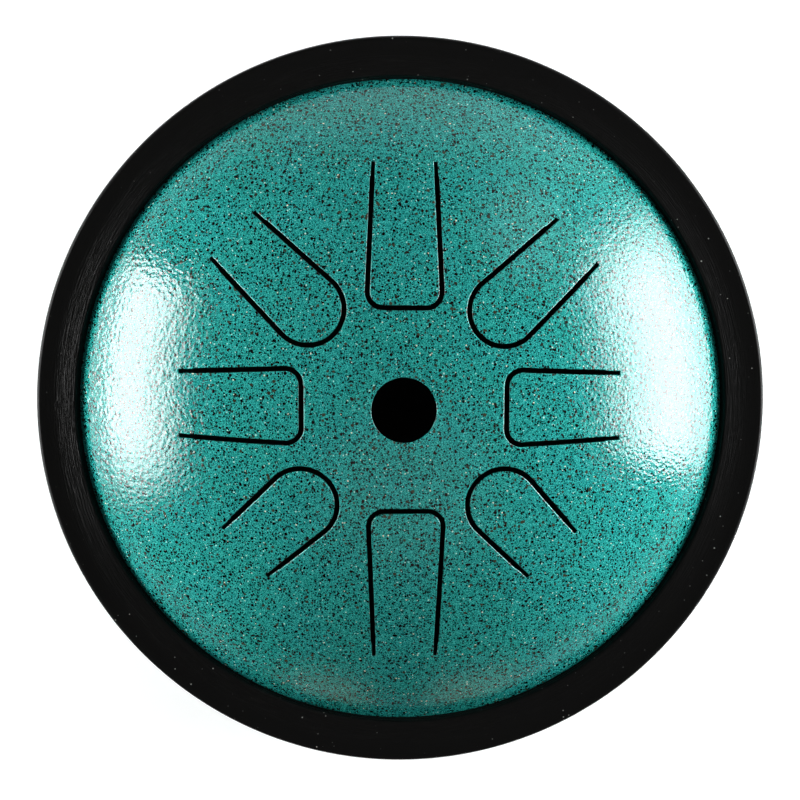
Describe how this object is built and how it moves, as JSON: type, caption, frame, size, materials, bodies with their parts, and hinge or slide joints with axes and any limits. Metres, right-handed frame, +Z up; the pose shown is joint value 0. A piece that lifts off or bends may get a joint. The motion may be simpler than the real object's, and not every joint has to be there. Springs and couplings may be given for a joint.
{
  "type": "steel tongue drum",
  "caption": "Round steel tongue drum: slotted domed top shell with a central sound hole, closed bottom shell, black rubber rim band and rubber feet.",
  "frame": {"origin": "on the ground under the drum's axis, level with the undersides of the feet", "axes": "+Z up along the drum's axis, +X to the right and +Y to the top of the picture"},
  "size_m": [0.155, 0.155, 0.0532],
  "materials": {
    "speckled_paint": "glossy speckled teal powder coat with a fine orange-peel texture",
    "band_rubber": "matte black moulded rubber",
    "foot_rubber": "matte black rubber",
    "adhesive_foam": "dark double-sided foam pad",
    "seal_film": "thin dark sealing film",
    "magnet_plating": "nickel plating"
  },
  "bodies": {
    "drum": {"top_shell": "speckled_paint", "bottom_shell": "speckled_paint", "flange_seal": "seal_film", "rim_band": "band_rubber", "foot_1": "foot_rubber", "foot_2": "foot_rubber", "foot_3": "foot_rubber", "foot_adhesive_1": "adhesive_foam", "foot_adhesive_2": "adhesive_foam", "foot_adhesive_3": "adhesive_foam"},
    "tongue_1": {"tongue_1": "speckled_paint", "tuning_magnet_1": "magnet_plating"},
    "tongue_2": {"tongue_2": "speckled_paint", "tuning_magnet_2": "magnet_plating"},
    "tongue_3": {"tongue_3": "speckled_paint", "tuning_magnet_3": "magnet_plating"},
    "tongue_4": {"tongue_4": "speckled_paint", "tuning_magnet_4": "magnet_plating"},
    "tongue_5": {"tongue_5": "speckled_paint", "tuning_magnet_5": "magnet_plating"},
    "tongue_6": {"tongue_6": "speckled_paint", "tuning_magnet_6": "magnet_plating"},
    "tongue_7": {"tongue_7": "speckled_paint", "tuning_magnet_7": "magnet_plating"},
    "tongue_8": {"tongue_8": "speckled_paint", "tuning_magnet_8": "magnet_plating"}
  },
  "joints": [
    {"name": "tongue_1_flex", "type": "hinge", "parent": "drum", "child": "tongue_1", "pos_m": [0.00044, 0.05005, 0.03971], "axis": [1, -0.0087, 0], "range_deg": [-1, 1], "stiffness_Nm_per_rad": 22.9},
    {"name": "tongue_2_flex", "type": "hinge", "parent": "drum", "child": "tongue_2", "pos_m": [0.03597, 0.03366, 0.04015], "axis": [0.6652, -0.7466, 0], "range_deg": [-0.9, 0.9], "stiffness_Nm_per_rad": 24.2},
    {"name": "tongue_3_flex", "type": "hinge", "parent": "drum", "child": "tongue_3", "pos_m": [0.04445, 0.00005, 0.04266], "axis": [-0.0113, -0.9999, 0], "range_deg": [-0.75, 0.75], "stiffness_Nm_per_rad": 28.9},
    {"name": "tongue_4_flex", "type": "hinge", "parent": "drum", "child": "tongue_4", "pos_m": [0.0307, -0.03057, 0.0432], "axis": [-0.729, -0.6845, 0], "range_deg": [-0.75, 0.75], "stiffness_Nm_per_rad": 30.3},
    {"name": "tongue_5_flex", "type": "hinge", "parent": "drum", "child": "tongue_5", "pos_m": [0.00049, -0.0523, 0.03836], "axis": [-1, -0.0017, 0], "range_deg": [-1.05, 1.05], "stiffness_Nm_per_rad": 21.3},
    {"name": "tongue_6_flex", "type": "hinge", "parent": "drum", "child": "tongue_6", "pos_m": [-0.03242, -0.03005, 0.04278], "axis": [-0.6756, 0.7373, 0], "range_deg": [-0.75, 0.75], "stiffness_Nm_per_rad": 29.6},
    {"name": "tongue_7_flex", "type": "hinge", "parent": "drum", "child": "tongue_7", "pos_m": [-0.0458, 0.00064, 0.04199], "axis": [-0.0035, 1, 0], "range_deg": [-0.8, 0.8], "stiffness_Nm_per_rad": 27.1},
    {"name": "tongue_8_flex", "type": "hinge", "parent": "drum", "child": "tongue_8", "pos_m": [-0.03491, 0.03513, 0.04001], "axis": [0.6884, 0.7254, 0], "range_deg": [-0.95, 0.95], "stiffness_Nm_per_rad": 23.5}
  ]
}
